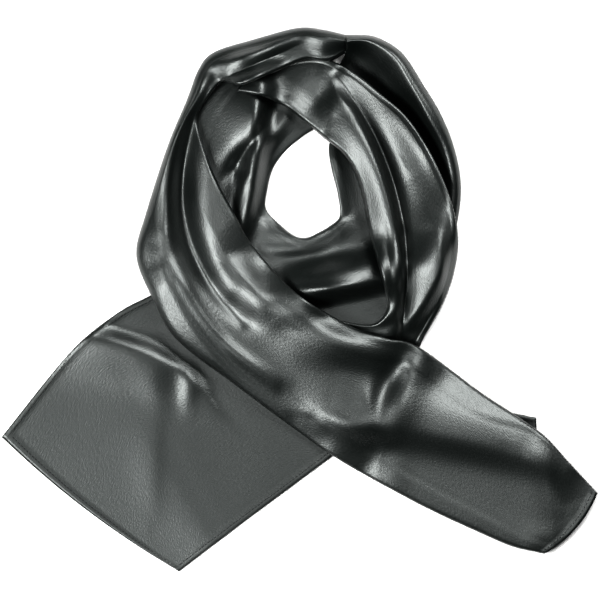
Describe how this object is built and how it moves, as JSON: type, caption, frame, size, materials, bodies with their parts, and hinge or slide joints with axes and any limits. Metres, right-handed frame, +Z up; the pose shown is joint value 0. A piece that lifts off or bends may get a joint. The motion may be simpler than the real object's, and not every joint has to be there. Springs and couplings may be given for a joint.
{
  "type": "evening stole",
  "caption": "Long hemmed satin stole wound twice into a neck loop and laid flat, its two ends crossed below the loop.",
  "frame": {"origin": "on the table, below the middle of the laid stole's bounding box", "axes": "+X towards the folded right end, +Y towards the top of the loop, +Z up from the table"},
  "size_m": [0.5951, 0.5432, 0.0486],
  "materials": {
    "satin": "dark charcoal satin weave, soft directional sheen"
  },
  "bodies": {
    "root": {"right_end": "satin", "right_end_under_layer": "satin", "left_rise": "satin", "top_band": "satin", "right_band": "satin", "left_end": "satin", "outer_right": "satin", "inner_foot": "satin", "inner_left": "satin"}
  },
  "joints": []
}
